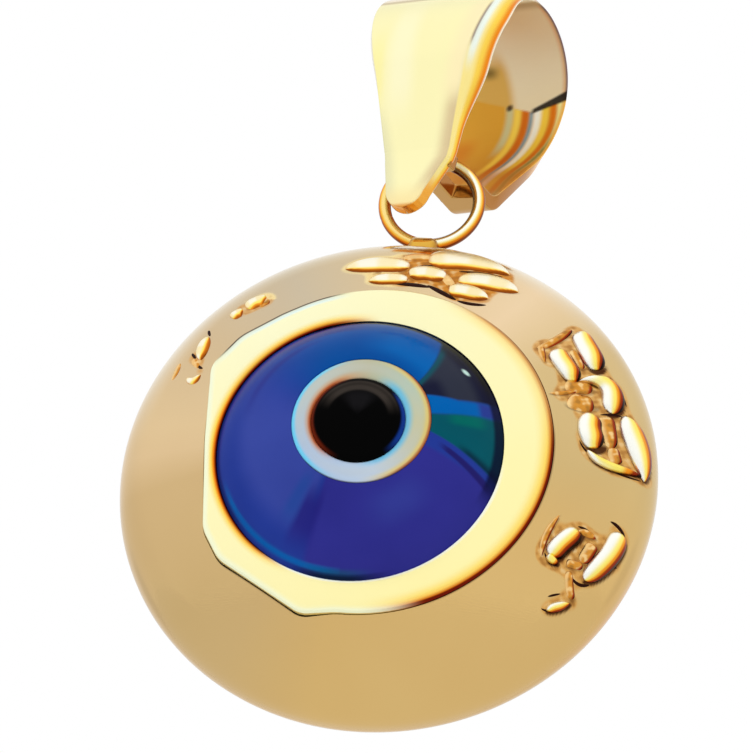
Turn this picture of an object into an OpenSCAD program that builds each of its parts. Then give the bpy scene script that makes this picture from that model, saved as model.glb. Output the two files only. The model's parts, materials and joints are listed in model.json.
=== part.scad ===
// Eye pendant: a hollow puffed gold body with a glass eye in its front, a
// flat bezel ring, a jump ring in a lug, and a tapered bail above it.
// Millimetres, +Z up, front towards -Y. The origin is the top of the inside
// of the bail, where a chain lies. Pieces of the pendant are drawn face on,
// with x to the right, y up and z out of the face, and then stood upright.

/* [Glass eye] */
// Radius of the dome where it comes out of the bezel
dome_r = 4; // [3.8:0.05:4.2]
// Height of the dome above the bezel's face
dome_h = 2; // [1.6:0.1:2.2]
// How far the dome sits to the side of the body's centre
dome_x = -0.58; // [-0.62:0.02:-0.54]
// Radius of the white ring
white_r = 1.89; // [1.7:0.01:2.1]
// Radius of the black pupil
pupil_r = 1.34; // [1.1:0.01:1.5]
// Sideways place of the white ring and the pupil
white_x = -0.33; // [-0.45:0.01:-0.2]
// How far the white ring stands out of the dome
white_rise = 0.05; // [0.02:0.01:0.1]

/* [Body] */
// Radius of the body
body_r = 7.42; // [7.35:0.01:7.5]
// Half thickness of the body at its centre
body_half = 2.85; // [2.8:0.05:2.95]
// Radius of the rim's rounding
rim_r = 1.45; // [1.4:0.05:1.5]
// Thickness of the shell's wall
wall = 0.4; // [0.3:0.05:0.45]
// Height of the cast sprigs above the shoulder
sprig_rise = 0.3; // [0.2:0.02:0.34]

/* [Bezel ring] */
// Radius of the bezel ring
bezel_r = 5.05; // [5:0.01:5.08]
// How far it sits to the side of the body's centre
bezel_x = -0.28; // [-0.3:0.01:-0.26]
// Height of its face above the body's middle plane
bezel_face = 2.1; // [2.08:0.01:2.14]
// Height of the seat below it
bezel_seat = 1.82; // [1.78:0.01:1.84]

/* [Jump ring] */
// Radius of the ring's centre line
ring_r = 1.315; // [1.3:0.005:1.33]
// Radius of its wire
wire_r = 0.175; // [0.15:0.005:0.18]
// Space between the ring and the bridge that it hangs on
hang_gap = 0.2; // [0.15:0.05:0.3]

/* [Bail] */
// Outer radius of the bail's loop
loop_r = 2.8; // [2.75:0.05:2.85]
// Height of the loop's centre above the bridge
loop_up = 3.4; // [3.35:0.01:3.45]
// Thickness of the band
band_t = 0.42; // [0.4:0.01:0.44]
// Half width of the band at its foot
band_half = 0.99; // [0.95:0.01:1.02]
// How much the half width grows for each millimetre upwards
band_taper = 0.24; // [0.2:0.01:0.26]
// Half width of the bridge that joins the two leaves
bridge_half = 0.26; // [0.24:0.01:0.28]
// How far the front leaf reaches below the bridge
tongue_down = 1.55; // [1.45:0.01:1.6]
// Turn of the bail about the upright, against the pendant
bail_turn = 18; // [10:1:20]

/* [Hidden] */
$fn = 96;
gap = 0.03;
over = 0.5;

// Outline of the body in section: two large arcs that meet a round rim
rim_x = body_r - rim_r;
cap_r = (rim_x * rim_x + body_half * body_half - rim_r * rim_r) / (2 * (body_half - rim_r));
cap_drop = cap_r - body_half;
join_x = rim_x / (cap_r - rim_r);

// The dome is part of a ball, on a girdle a little wider than the bezel's hole
ball_r = (dome_r * dome_r + dome_h * dome_h) / (2 * dome_h);
ball_z = bezel_face + dome_h - ball_r;
girdle_out = 0.1;
girdle_r = dome_r + girdle_out;
girdle_z = 0.85;
inlay_deep = 0.13;
pupil_rise = 1.6 * white_rise;

// The cup that the glass stands in
cup_wall = 0.32;
cup_floor = 0.37;
cup_hole_r = 3.4;

// The sprigs start a little in front of the body's middle plane
relief_from = 0.2;

// Heights of the pieces above the body's centre
ring_clear = 0.09;
ring_y = body_r + ring_clear + wire_r + ring_r;
lug_r = 0.4;
lug_half = 0.6;
bridge_y = ring_y + ring_r - wire_r - hang_gap - band_t / 2;

// The bail in section: x from front to back, y up from the bridge, whose back end
// lies a little higher than its front end
loop_x = 0.95;
front_x = -0.72;
front_r = 0.6;
back_x = 1.4;
back_r = 0.9;
foot_slope = 0.15;
front_y = front_r - band_t / 2 - foot_slope / 3;
back_y = back_r - band_t / 2 + foot_slope * 2 / 3;
loop_top = loop_up + loop_r;
mouth_top = loop_top - band_t;

// The band stops widening in an arc that starts at this height
bend_from = 3.9;
bend_steps = 6;
bend_turn = atan(band_taper);
bend_r = (loop_top - bend_from) / sin(bend_turn);

// The tongue ends in a round tip, and notches on both sides of the bridge let the
// ring swing; the left one also clears the corner of the back leaf
tip_r = 0.62;
tip_x = -0.2;
notch_from = -0.72;
notch_to = 0.72;
notch_to_left = 2.4;

// Corners of the left side of the bezel ring, which is cut straight
bezel_corners = [
    [-0.92, 4.96], [-2.41, 4.44], [-4.7, 2.61], [-4.62, -0.3], [-4.32, -2.85], [-1.25, -5.15],
    [-0.32, -5.04],
];

// Leaves of the four cast sprigs, one row each, face on
// columns: x, y, length, width, turn in degrees from x towards y
sprig_top = [
    [-1.09, 5.96, 1.43, 0.42, 3],
    [-0.51, 5.58, 1.02, 0.36, 8],
    [0.46, 5.83, 1.00, 0.45, 7],
    [0.20, 6.28, 0.80, 0.34, 3],
    [-0.43, 6.42, 0.80, 0.34, 10],
    [1.72, 5.28, 0.95, 0.50, -2],
    [2.25, 5.68, 1.50, 0.55, -4],
    [1.51, 6.56, 2.00, 0.55, 0],
    [1.85, 4.93, 1.25, 0.24, -8],
];
sprig_right = [
    [4.25, 4.08, 1.19, 0.26, 50],
    [5.22, 3.85, 1.60, 0.70, -51],
    [4.71, 3.15, 1.25, 0.72, -41],
    [5.14, 2.58, 0.95, 0.28, 7],
    [5.76, 2.43, 1.55, 0.85, -39],
    [5.65, 1.20, 1.05, 0.74, -73],
    [6.76, 1.13, 1.75, 0.72, -64],
    [6.36, 0.42, 1.40, 0.26, -12],
];
sprig_low = [
    [4.97, -2.17, 1.36, 0.22, 78],
    [5.40, -2.36, 1.20, 0.62, 48],
    [5.76, -1.86, 0.55, 0.25, -5],
    [5.75, -2.55, 0.90, 0.34, 39],
    [6.32, -2.47, 1.80, 0.66, 66],
    [5.57, -3.38, 0.85, 0.22, -81],
    [5.37, -3.97, 0.80, 0.27, 33],
];
sprig_left = [
    [-5.40, 3.20, 0.85, 0.42, 80],
    [-5.67, 2.37, 0.60, 0.30, 88],
    [-4.62, 4.18, 0.60, 0.42, 40],
    [-3.94, 4.82, 0.70, 0.42, 9],
];

// Stands the face-on drawing upright in its place under the bail
module stand_up() {
    turned = [sin(bail_turn), cos(bail_turn)];
    translate([-loop_x * turned[0], -loop_x * turned[1], -mouth_top - bridge_y])
        rotate([90, 0, 0]) children();
}

// Section of the body on one side of its axis, grown by an amount
module body_section(grow) {
    translate([rim_x, 0]) circle(rim_r + grow);
    intersection() {
        translate([0, -cap_drop]) circle(cap_r + grow);
        translate([0, cap_drop]) circle(cap_r + grow);
        translate([0, -body_half - over]) square([join_x * (cap_r + grow), 2 * (body_half + over)]);
    }
}

module body_form(grow) {
    rotate_extrude() body_section(grow);
}

// A pointed leaf, the overlap of two circles
module leaf(length, width) {
    arc_r = (length * length + width * width) / (4 * width);
    intersection() {
        translate([0, arc_r - width / 2]) circle(arc_r);
        translate([0, width / 2 - arc_r]) circle(arc_r);
    }
}

module sprig(rows) {
    for (row = rows) translate([row[0], row[1]]) rotate(row[4]) leaf(row[2], row[3]);
}

// Everything of the sprigs that stands above the shoulder
module relief() {
    intersection() {
        body_form(sprig_rise);
        translate([0, 0, relief_from]) linear_extrude(body_half + over) {
            sprig(sprig_top);
            sprig(sprig_right);
            sprig(sprig_low);
            sprig(sprig_left);
        }
    }
}

module bezel_outline(grow) {
    translate([bezel_x, 0]) {
        intersection() {
            circle(bezel_r + grow);
            translate([bezel_corners[0][0], -body_r]) square(2 * body_r);
        }
        polygon(bezel_corners * (1 + grow / bezel_r));
    }
}

module cup() {
    translate([dome_x, 0, girdle_z - gap - cup_floor]) difference() {
        cylinder(h = bezel_seat, r = girdle_r + gap + cup_wall);
        translate([0, 0, cup_floor]) cylinder(h = bezel_seat, r = girdle_r + gap);
        translate([0, 0, -over]) cylinder(h = cup_floor + 2 * over, r = cup_hole_r);
    }
}

module ring_bar(bar_r) {
    translate([0, ring_y, 0]) rotate_extrude() translate([ring_r, 0]) circle(bar_r, $fn = 48);
}

module lug() {
    translate([-lug_half, ring_y - ring_r, 0]) rotate([0, 90, 0])
        cylinder(h = 2 * lug_half, r = lug_r, $fn = 48);
}

// Hollow shell with its relief, cup and lug
module body_shell() {
    color("gold") stand_up() difference() {
        union() {
            difference() {
                union() {
                    body_form(0);
                    relief();
                }
                body_form(-wall);
            }
            intersection() {
                cup();
                body_form(-wall / 2);
            }
            lug();
        }
        translate([dome_x, 0, girdle_z - gap]) cylinder(h = body_half, r = girdle_r + gap);
        translate([0, 0, bezel_seat]) linear_extrude(body_half) bezel_outline(gap);
        ring_bar(wire_r + gap);
    }
}

// Flat ring that holds the glass down and lies on the body's seat
module bezel_ring() {
    color("khaki") stand_up() difference() {
        translate([0, 0, bezel_seat - over]) linear_extrude(bezel_face - bezel_seat + over)
            bezel_outline(0);
        intersection() {
            body_form(gap);
            translate([0, 0, bezel_seat + gap - body_half]) cylinder(h = body_half, r = body_r);
        }
        translate([dome_x, 0, ball_z]) sphere(ball_r + gap);
    }
}

// Blue glass with a shallow pit for the white ring and the pupil
module glass_dome() {
    color("mediumblue") stand_up() difference() {
        intersection() {
            translate([dome_x, 0, ball_z]) sphere(ball_r);
            translate([dome_x, 0, girdle_z]) cylinder(h = ball_r, r = girdle_r);
        }
        difference() {
            translate([white_x, 0, bezel_face]) cylinder(h = ball_r, r = white_r + gap);
            translate([dome_x, 0, ball_z]) sphere(ball_r - inlay_deep - gap);
        }
    }
}

// A round skin that follows the dome
module inlay(round_r, rise) {
    intersection() {
        difference() {
            translate([dome_x, 0, ball_z]) sphere(ball_r + rise);
            translate([dome_x, 0, ball_z]) sphere(ball_r - inlay_deep);
        }
        translate([white_x, 0, bezel_face]) cylinder(h = ball_r, r = round_r);
    }
}

module white_ring() {
    color("white") stand_up() difference() {
        inlay(white_r, white_rise);
        translate([white_x, 0, 0]) cylinder(h = 2 * ball_r, r = pupil_r + gap);
    }
}

module pupil() {
    color("black") stand_up() inlay(pupil_r, pupil_rise);
}

module jump_ring() {
    color("gold") stand_up() ring_bar(wire_r);
}

// Point on a circle at an angle from x
function on_circle(centre, r, angle) = centre + r * [cos(angle), sin(angle)];

// Angle at which a line touches the outside of two circles, on the side given
function touch_angle(from, from_r, to, to_r, side) =
    atan2(to[1] - from[1], to[0] - from[0]) + side * acos((from_r - to_r) / norm(to - from));

// Section of the closed loop, drawn by circles and the lines that touch them
module loop_section(shrink) {
    ring_c = [loop_x, loop_up];
    front_c = [front_x, front_y];
    back_c = [back_x, back_y];
    big = loop_r - shrink;
    front = front_r - shrink;
    back = back_r - shrink;
    front_angle = touch_angle(ring_c, big, front_c, front, -1);
    back_angle = touch_angle(ring_c, big, back_c, back, 1);
    translate(ring_c) circle(big);
    translate(front_c) circle(front);
    translate(back_c) circle(back);
    polygon([
        on_circle(ring_c, big, front_angle), on_circle(front_c, front, front_angle),
        [front_x, front_y - front], [back_x, back_y - back],
        on_circle(back_c, back, back_angle), on_circle(ring_c, big, back_angle),
    ]);
}

// Upright end of the front leaf, which goes on below the bridge
module tongue_section() {
    translate([front_x - front_r, -tongue_down - over])
        square([band_t, front_y + tongue_down + over]);
}

// Half width of the band at a height above its foot
function band_edge(y) =
    y < bend_from ? band_half + band_taper * y
    : band_half + band_taper * bend_from - bend_r * cos(bend_turn)
        + sqrt(bend_r * bend_r - (loop_top - y) * (loop_top - y));

// Front view of the band: it widens upwards and ends below in a round tip
module band_outline() {
    heights = [for (step = [0 : bend_steps]) bend_from + (loop_top - bend_from) * step / bend_steps];
    side = [for (y = heights) [band_edge(y), y]];
    right = concat([[band_half, 0]], side, [[band_edge(loop_top), loop_top + over]]);
    left = [for (step = [len(right) - 1 : -1 : 0]) [-right[step][0], right[step][1]]];
    tip = [for (turn = [-75 : 15 : 75]) [tip_x, tip_r - tongue_down] + tip_r * [sin(turn), -cos(turn)]];
    polygon(concat(right, left, tip));
}

// Clears one side of the bridge, from the front to a distance behind
module notch(side, to) {
    translate([side > 0 ? bridge_half : -bridge_half - 2 * over, notch_from, -2 * band_t])
        cube([2 * over, to - notch_from, 4 * band_t]);
}

// Tapered band bent to a loop, with a narrow bridge through the jump ring
module bail() {
    color("gold") translate([0, 0, -mouth_top]) rotate([0, 0, -bail_turn])
        translate([0, -loop_x, 0]) difference() {
            intersection() {
                rotate([90, 0, 90]) linear_extrude(2 * loop_r, center = true) {
                    difference() {
                        loop_section(0);
                        loop_section(band_t);
                    }
                    tongue_section();
                }
                rotate([90, 0, 0]) linear_extrude(4 * loop_r, center = true) band_outline();
            }
            notch(1, notch_to);
            notch(-1, notch_to_left);
        }
}

body_shell();
bezel_ring();
glass_dome();
white_ring();
pupil();
jump_ring();
bail();
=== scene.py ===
"""Eye pendant: every piece, its colours with painted light and shade, its finish, a pale studio and
the camera.

Pieces of the pendant are worked out face on, in millimetres, with x to the
right, y up and z out of the face, and then stood upright under the bail.
"""

import json
import math

import bpy
import numpy as np
from mathutils import Matrix, Vector


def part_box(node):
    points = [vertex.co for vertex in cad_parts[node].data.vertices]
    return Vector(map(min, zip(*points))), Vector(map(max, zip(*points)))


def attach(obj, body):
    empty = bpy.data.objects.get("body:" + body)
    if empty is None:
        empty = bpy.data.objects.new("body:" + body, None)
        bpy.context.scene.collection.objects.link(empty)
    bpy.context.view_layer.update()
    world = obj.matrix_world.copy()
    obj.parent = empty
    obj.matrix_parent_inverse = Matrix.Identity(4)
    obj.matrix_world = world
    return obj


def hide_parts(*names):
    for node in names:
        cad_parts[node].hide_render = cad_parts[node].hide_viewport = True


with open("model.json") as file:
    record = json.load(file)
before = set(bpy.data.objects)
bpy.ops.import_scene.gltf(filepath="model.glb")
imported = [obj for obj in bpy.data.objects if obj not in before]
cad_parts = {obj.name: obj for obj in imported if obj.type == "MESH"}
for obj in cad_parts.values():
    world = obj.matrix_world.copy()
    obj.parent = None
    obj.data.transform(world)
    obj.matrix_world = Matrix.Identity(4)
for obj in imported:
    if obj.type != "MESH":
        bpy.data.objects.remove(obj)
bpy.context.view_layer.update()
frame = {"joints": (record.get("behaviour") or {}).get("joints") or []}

MM = 0.001

# Body, in millimetres
BODY_R = 7.42
BODY_HALF = 2.85
RIM_R = 1.45
RIM_X = BODY_R - RIM_R
CAP_R = (RIM_X**2 + BODY_HALF**2 - RIM_R**2) / (2 * (BODY_HALF - RIM_R))
CAP_DROP = CAP_R - BODY_HALF
JOIN_SINE = RIM_X / (CAP_R - RIM_R)
JOIN_R = JOIN_SINE * CAP_R

# Bezel ring and its seat
BEZEL_R = 5.05
BEZEL_X = -0.28
BEZEL_FACE = 2.1
BEZEL_SEAT = 1.82
BEZEL_CORNERS = np.array([
    (-2.85, 4.2), (-4.07, 3.32), (-4.75, 2.35), (-4.6, 0), (-4.27, -2.75), (-3.72, -3.65),
    (-1.25, -5.17), (-0.32, -5.05),
])
CORNER_ROUND = 2.5
PER_DEGREE = 20
GAP = 0.03
SEAM = 0.006

# Glass eye
DOME_R = 4.0
DOME_H = 2.0
DOME_X = -0.555
# The drawn glass is a little narrower than it is high, and lies a hair lower
GLASS_NARROW = 0.977
GLASS_LOW = -0.035
BALL_R = (DOME_R**2 + DOME_H**2) / (2 * DOME_H)
BALL_Z = BEZEL_FACE + DOME_H - BALL_R
GIRDLE_R = 4.1
GIRDLE_Z = 0.85
WHITE_X = -0.33
WHITE_R = 1.89
WHITE_BULGE = 0.05
BULGE_TURN = math.radians(25)
PUPIL_R = 1.29
PUPIL_OFF = np.array((-0.05, -0.11))
WHITE_RISE = 0.05
PUPIL_RISE = 0.08
INLAY_DEEP = 0.13
EDGE_DROP = 0.02

# Jump ring and lug
RING_R = 1.315
WIRE_R = 0.175
RING_UP = BODY_R + 0.09 + WIRE_R + RING_R
LUG_R = 0.34
LUG_HALF = 0.42
LUG_ROUND = 0.24
LUG_LOWER = 0.3
LUG_FORWARD = 0.24

# Bail: along runs from front to back, up from the bridge, across to the right
BAND_T = 0.42
LOOP_R = 2.8
LOOP = np.array((0.95, 3.4))
LOOP_TOP = LOOP[1] + LOOP_R
FOOT_SLOPE = 0.15
FRONT_R = 0.6
FRONT = np.array((-0.72, FRONT_R - BAND_T / 2 - FOOT_SLOPE / 3))
BACK_R = 0.9
BACK = np.array((1.4, BACK_R - BAND_T / 2 + FOOT_SLOPE * 2 / 3))
BAND_HALF = 0.99
BAND_TAPER = 0.24
FRONT_FLARE = 0.28
BEVEL_LOW, BEVEL_GROW, BEVEL_LEAST = 0.06, 0.135, 0.05
BAIL_ROUND = 0.05
BEND_FROM = 3.9
BEND_TURN = math.atan(BAND_TAPER)
BEND_R = (LOOP_TOP - BEND_FROM) / math.sin(BEND_TURN)
BRIDGE_HALF = 0.26
BRIDGE_REACH = 0.3
TONGUE_DOWN = 1.55
TIP_R = 0.62
TIP_X = -0.2
NOTCH_TO = 0.72
NOTCH_UP = 0.84
NOTCH_SOFT = 0.22
SHOULDER_TURN = math.radians(75)

# Leaves of the four cast sprigs, face on: bright leaves, low amber ones between them, and dark
# lines: low ridges whose dark colour is a painted reflection. Columns: the start, a middle place
# and the end of the leaf's midline as x and y, its width, its blunt ends (1 for the start, 2 for
# the end,
# 3 for both), and how much wider it starts than it ends. The last two are 0 where they are left out
SPRIGS = {
    ("top", "bright"): [
        (-1.1, 5.42, -0.55, 5.54, 0, 5.54, 0.42, 2), (0, 5.72, 0.45, 5.88, 1, 5.72, 0.56, 3),
        (0.4, 6.4, 1.55, 6.55, 2.7, 6.2, 0.74, 1, 0.3), (1.35, 5.7, 2.2, 5.78, 3.05, 5.55, 0.62, 1),
        (1.15, 5.28, 1.7, 5.28, 2.3, 5.12, 0.54, 1), (-1.85, 5.92, -0.95, 6.12, -0.05, 6.1, 0.6, 2),
    ],
    ("top", "amber"): [
        (-0.3, 6.4, 0.1, 6.55, 0.55, 6.5, 0.34, 3), (0.8, 5.95, 1.05, 5.7, 1.25, 5.4, 0.3, 3),
    ],
    ("top", "vein"): [
        (-0.4, 5.36, 0.15, 5.36, 0.75, 5.3, 0.2), (0.5, 5.42, 1, 5.15, 1.5, 4.88, 0.2),
        (0.05, 6.06, 0.5, 6.18, 1.05, 6.1, 0.14), (1.2, 6.05, 1.9, 6.1, 2.65, 6.05, 0.13),
        (1.4, 4.92, 1.85, 4.83, 2.35, 4.88, 0.16),
    ],
    ("right", "bright"): [
        (4.8, 4.45, 5.15, 3.95, 5.55, 3.3, 0.58, 3, -0.1),
        (4.3, 3.65, 4.65, 3.2, 5.05, 2.75, 0.56, 3),
        (5.1, 2.75, 5.85, 2.8, 6.1, 1.95, 0.5, 2, -0.45),
        (5.65, 1.75, 5.6, 1.25, 5.9, 0.75, 0.66, 3),
        (6.35, 1.95, 6.8, 1.25, 7.15, 0.2, 0.62, 0, 0.1), (5.6, 0.6, 6.15, 0.3, 7.1, 0.3, 0.26),
    ],
    ("right", "amber"): [
        (3.85, 3.6, 4.25, 3.95, 4.65, 4.55, 0.26, 2), (3.95, 3.75, 4, 3.5, 4.15, 3.15, 0.2, 1),
        (5.9, 1.8, 6.05, 1.4, 6.25, 0.85, 0.5, 3, 0.2), (6.25, 0.9, 6.35, 0.6, 6.45, 0.4, 0.36, 3),
        (4.4, 2.15, 4.75, 2.25, 5.2, 2.45, 0.14), (4.75, 3.8, 4.95, 3.5, 5.15, 3.2, 0.24, 3),
        (4.75, 2.5, 5.1, 2.55, 5.5, 2.6, 0.42, 3), (4.9, 2.1, 5.25, 2.05, 5.6, 2.1, 0.56, 3),
    ],
    ("right", "vein"): [
        (5.75, 1.8, 6.1, 1.92, 6.4, 1.95, 0.1), (6.38, 2.1, 6.8, 1.66, 7.12, 1.15, 0.1),
        (5.82, 3.2, 6.18, 2.8, 6.46, 2.25, 0.09), (6.02, 1.2, 6.1, 1.1, 6.2, 0.98, 0.12),
        (4.65, 2.84, 4.9, 2.8, 5.15, 2.79, 0.1), (5.35, 0.92, 5.62, 0.55, 6.05, 0.4, 0.08),
        (6.1, 0.25, 6.65, 0.12, 7.15, 0.2, 0.08),
    ],
    ("low", "bright"): [
        (5.05, -2.75, 5.3, -2.3, 5.7, -1.85, 0.56, 3), (4.95, -2.7, 5.05, -2.8, 5.25, -2.9, 0.26),
        (5.05, -4.2, 5.3, -4.05, 5.65, -3.85, 0.28), (6.7, -1.55, 6.5, -2.3, 5.95, -3.15, 0.5, 3),
    ],
    ("low", "amber"): [
        (5.15, -1.5, 4.85, -2.2, 4.8, -2.8, 0.2), (5.65, -1.85, 5.9, -1.85, 6.15, -1.95, 0.22),
        (6.1, -2.1, 6, -2.35, 5.85, -2.7, 0.36, 3), (5.45, -2.8, 5.65, -2.8, 5.9, -2.8, 0.26, 3),
        (5.55, -3, 5.6, -3.4, 5.7, -3.75, 0.24, 3),
    ],
    ("low", "vein"): [
        (6.43, -1.33, 6.68, -1.42, 6.88, -1.64, 0.13), (5.62, -1.72, 5.85, -1.75, 6.08, -1.88, 0.1),
        (4.86, -2.62, 5.02, -2.88, 5.32, -2.95, 0.1), (5.62, -3.13, 5.84, -3.3, 6.14, -3.2, 0.12),
        (6.45, -2.6, 6.6, -2.52, 6.76, -2.48, 0.1), (5.05, -3.84, 5.22, -3.75, 5.42, -3.66, 0.08),
        (4.9, -4.16, 5.1, -4.2, 5.32, -4.1, 0.08),
    ],
    ("left", "bright"): [
        (-5.35, 3.6, -5.45, 3.2, -5.45, 2.75, 0.4), (-4.8, 4.2, -4.65, 4.35, -4.5, 4.4, 0.34, 3),
        (-4.45, 4.55, -4.15, 4.75, -3.9, 4.8, 0.44, 3),
        (-5.75, 2.2, -5.55, 2.05, -5.35, 2.25, 0.24),
    ],
    ("left", "amber"): [
        (-5.65, 2.85, -5.6, 2.7, -5.4, 2.45, 0.22), (-4.1, 4.6, -3.95, 4.7, -3.8, 4.8, 0.35, 3),
        (-6.2, 2.15, -6.1, 2.5, -6.05, 2.8, 0.2),
    ],
    ("left", "vein"): [
        (-5.4, 3.86, -5.37, 3.74, -5.3, 3.58, 0.12), (-5.76, 3.08, -5.68, 2.95, -5.58, 2.82, 0.12),
        (-5.5, 2.62, -5.42, 2.5, -5.3, 2.44, 0.12),
    ],
}
# How high the leaves rise, and how deep they and their feet are sunk in the shoulder
LEAF_RISE = {"top": 0.15, "right": 0.25, "low": 0.25, "left": 0.13}
KIND_RISE = {"bright": 1, "amber": 0.45, "vein": 0.3}
LEAST_RISE, LEAF_SINK, LEAF_FOOT = 0.065, 0.03, 0.12
# How much a leaf adds to the painted warm shade and sheen that fill the hollows between the leaves
# and to the painted shade round them, how far the fill and the shade reach from its edge, and how
# far from its middle they are looked for
KIND_FILL = {"bright": 1, "amber": 0.8, "vein": 0.3}
KIND_SHADE = {"bright": 1, "amber": 0.5, "vein": 0.3}
SPRIG_FILL = {"top": 1, "right": 1, "low": 1, "left": 0.7}
FILL_REACH, SHADE_REACH, LEAF_REACH = 0.2, 0.055, 1.6
# Sides away from the light, towards which the leaves' painted shade darkens them, and on which they
# cast painted shade onto the shoulder
LEE_SIDE = {"top": (0.1, -1), "right": (1, 0), "low": (0.9, -0.44), "left": (0.9, -0.4)}
SHADE_SIDE = {"top": (0.2, -0.98), "right": (0.45, -0.9), "low": (0.5, -0.87), "left": (0.5, -0.87)}
# How dark the painted shade on and round the leaves gets, how much of a painted warm sheen they
# have, and where across them the painted shade begins
LEAF_DEPTH = {"top": 0.35, "right": 1, "low": 1, "left": 0.2}
LEAF_WARM_SHEEN = {"top": 1, "right": 0, "low": 0, "left": 1}
LEE_FROM = {"top": 0.7, "right": 0, "low": 0, "left": 0.35}
# The top sprig's own fill lies above this height
TOP_FROM = 4.8

# Tones of the shoulder round the body, the gold with painted reflections of the studio: bearing in
# degrees from the right, and screen colour
SHOULDER_REFLECTIONS = [
    (0, (211, 182, 124)), (35, (214, 186, 132)), (58, (235, 208, 168)), (90, (222, 196, 150)),
    (120, (202, 186, 158)), (150, (210, 184, 144)), (174, (221, 192, 147)), (182, (219, 189, 144)),
    (192, (206, 175, 125)), (225, (207, 176, 121)), (240, (209, 177, 121)), (262, (219, 183, 117)),
    (340, (219, 183, 118)),
]


# Places that the frame gives
ring_low, ring_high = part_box("jump_ring")
ring_centre = np.array((ring_low + ring_high) / 2) / MM
body_centre = ring_centre - np.array((0, 0, RING_UP))
swing = frame["joints"][0]
bridge_centre = np.array(swing["pos_m"]) / MM
bridge_along = np.array(swing["axis"]) / np.linalg.norm(swing["axis"])
bridge_across = np.array((bridge_along[1], -bridge_along[0], 0))


def stood(points):
    """Face-on points, in millimetres, stood upright: x stays, y becomes up, z becomes -Y."""
    turned = joined(points[..., 0], -points[..., 2], points[..., 1])
    return (turned + body_centre) * MM


def in_bail(along, up, across):
    """Points of the bail from their distances, in millimetres, from the bridge's centre."""
    along, up, across = (np.asarray(part)[..., None] for part in (along, up, across))
    places = along * bridge_along + across * bridge_across + up * np.array((0, 0, 1.0))
    return (places + bridge_centre) * MM


# Meshes


def joined(*parts):
    """Coordinates spread to one shape, as the last axis of one array."""
    return np.stack(np.broadcast_arrays(*parts), axis=-1)


def full_turn(count):
    """Angles all the way round."""
    return np.linspace(0, 2 * np.pi, count, endpoint=False)


def corner(size, first, last, count):
    """Steps (in, down) to the points of a quarter circle's arc, between two angles in degrees."""
    turns = np.radians(np.linspace(first, last, count))
    return [(size * (1 - math.cos(t)), size * (1 - math.sin(t))) for t in turns]


def mesh_piece(name, points, faces, tones, body="pendant", dull=None):
    """A smooth-shaded piece from points, faces as skin gives them, each point's colour, and how
    much duller it is than the material."""
    corners, sizes = faces
    mesh = bpy.data.meshes.new(name)
    mesh.vertices.add(len(points))
    mesh.vertices.foreach_set("co", np.asarray(points, np.float32).ravel())
    mesh.loops.add(len(corners))
    mesh.loops.foreach_set("vertex_index", np.asarray(corners, np.int32))
    mesh.polygons.add(len(sizes))
    starts = np.concatenate(([0], np.cumsum(sizes)[:-1]))
    mesh.polygons.foreach_set("loop_start", starts.astype(np.int32))
    mesh.update(calc_edges=True)
    mesh.validate()
    mesh.polygons.foreach_set("use_smooth", np.ones(len(mesh.polygons), bool))
    if dull is not None:
        values = np.asarray(dull, np.float32)
        mesh.attributes.new("dull", "FLOAT", "POINT").data.foreach_set("value", values)
    colours = np.ones((len(points), 4), np.float32)
    colours[:, :3] = np.clip(tones, 0, 1)
    mesh.attributes.new("tone", "FLOAT_COLOR", "POINT").data.foreach_set("color", colours.ravel())
    piece = bpy.data.objects.new(name, mesh)
    bpy.context.scene.collection.objects.link(piece)
    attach(piece, body)
    return piece


def skin(rings, first_pole=None, last_pole=None, looped=False):
    """Points, and the faces that join each ring of them to the next: their corners and sizes.

    rings is (rings, points in a ring, 3) long. A pole closes the first or last ring to one point,
    and a looped skin joins the last ring to the first. The winding is turned over if the volume
    inside comes out negative."""
    count, around = rings.shape[:2]
    points = rings.reshape(-1, 3)
    step = np.arange(around)
    next_step = (step + 1) % around
    near = np.arange(count if looped else count - 1)[:, None] * around
    far = (near + around) % (count * around)
    quads = joined(near + step, near + next_step, far + next_step, far + step).reshape(-1, 4)
    fans = [np.zeros((0, 3), int)]
    for pole, ring, turn in ((first_pole, 0, 1), (last_pole, count - 1, -1)):
        if pole is not None:
            pair = (ring * around + next_step, ring * around + step)
            fans.append(joined(len(points), *pair[::turn]))
            points = np.vstack((points, pole))
    triangles = np.vstack(fans)
    volume = 0
    for faces in (quads, triangles):
        first, *others = (points[faces[:, k]] for k in range(faces.shape[1]))
        for one, other in zip(others, others[1:]):
            volume += np.einsum("ij,ij->", first, np.cross(one, other))
    if volume < 0:
        quads, triangles = quads[:, ::-1], triangles[:, ::-1]
    sizes = np.repeat((4, 3), (len(quads), len(triangles)))
    return points, (np.concatenate((quads.ravel(), triangles.ravel())), sizes)


def smooth(low, high, value):
    """0 below low, 1 above high, and a smooth cubic between them."""
    t = np.clip((value - low) / (high - low), 0, 1)
    return t * t * (3 - 2 * t)


def fade(low, high, value):
    """1 below low, 0 above high, and a smooth cubic between them."""
    return 1 - smooth(low, high, value)


def band(low, high, soft, value):
    """1 between low and high and 0 outside, with soft ends."""
    return smooth(low - soft, low + soft, value) * fade(high - soft, high + soft, value)


def bearing(x, y, start=0):
    """Angle round a centre in degrees, from start up to start + 360."""
    return (np.degrees(np.arctan2(y, x)) - start) % 360 + start


# Colour


def tone(red, green, blue):
    """A colour given by its screen values from 0 to 255, as shares of light."""
    screen = np.array((red, green, blue)) / 255
    return np.where(screen <= 0.04045, screen / 12.92, ((screen + 0.055) / 1.055) ** 2.4)


def paint(ground, *coats):
    """Shares of light at points: a ground, and over it coats, each a cover from 0 to 1 and a
    screen colour."""
    for cover, coat in coats:
        cover = np.clip(cover, 0, 1)[..., None]
        ground = ground * (1 - cover) + tone(*coat) * cover
    return ground


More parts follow.
